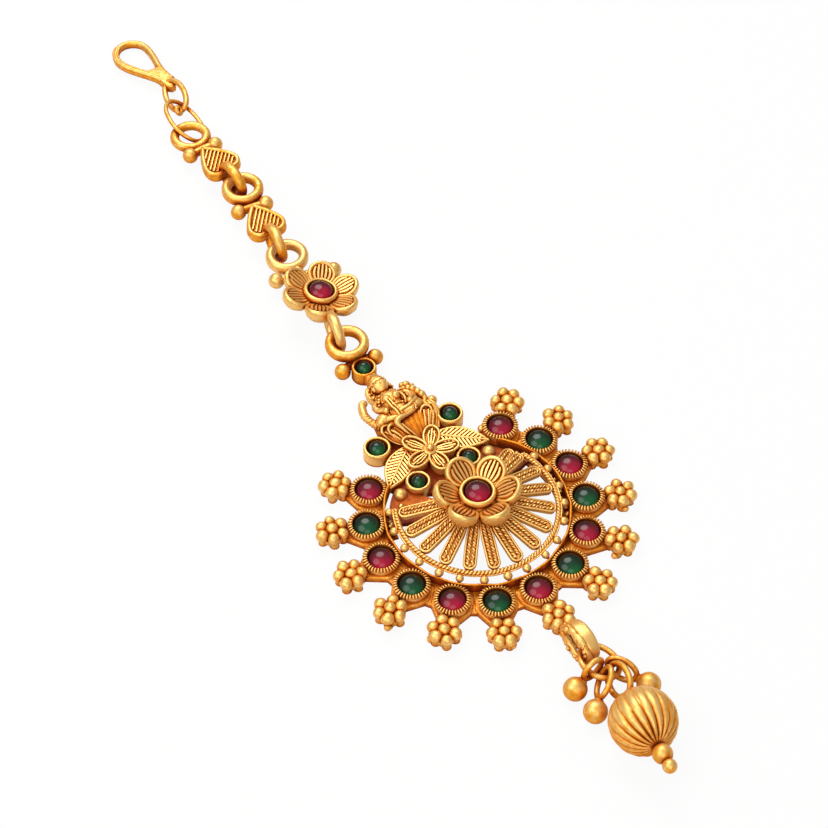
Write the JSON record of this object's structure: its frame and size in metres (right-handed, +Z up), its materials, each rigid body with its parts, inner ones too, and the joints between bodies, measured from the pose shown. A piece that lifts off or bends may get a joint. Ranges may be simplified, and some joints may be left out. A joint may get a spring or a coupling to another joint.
{
  "type": "maang tikka",
  "caption": "Gold-plated maang tikka: round filigree pendant with red and green cabochons, linked chain with a hair hook, and a fluted bead drop with ball charms.",
  "frame": {"origin": "centre of the round medallion on its flat back, the face that lies on the table or forehead", "axes": "+X to the right seen from the front, +Y along the chain to the hair hook, +Z up out of the stones"},
  "size_m": [0.0466, 0.1685, 0.0094],
  "materials": {
    "gold": "satin antique gold plating",
    "ruby": "polished opaque red glass cabochon",
    "emerald": "polished opaque green glass cabochon"
  },
  "bodies": {
    "root": {"pendant_frame": "gold", "ring_stone_01": "ruby", "ring_stone_02": "emerald", "ring_stone_03": "ruby", "ring_stone_04": "emerald", "ring_stone_05": "ruby", "ring_stone_06": "emerald", "ring_stone_07": "ruby", "ring_stone_08": "emerald", "ring_stone_09": "ruby", "ring_stone_10": "emerald", "ring_stone_11": "ruby", "ring_stone_12": "emerald", "ring_stone_13": "ruby", "centre_stone": "ruby", "side_stone_1": "emerald", "side_stone_2": "emerald", "side_stone_3": "emerald", "side_stone_4": "emerald", "crown_stone": "emerald", "flower_link": "gold", "flower_link_stone": "ruby", "heart_link_2": "gold", "heart_link_1": "gold", "jump_ring": "gold", "hook": "gold", "drop_ring": "gold", "charm_1": "gold", "charm_2": "gold", "charm_3": "gold", "bead_pin": "gold", "fluted_bead": "gold", "collar_bead": "gold", "end_bead": "gold"}
  },
  "joints": []
}
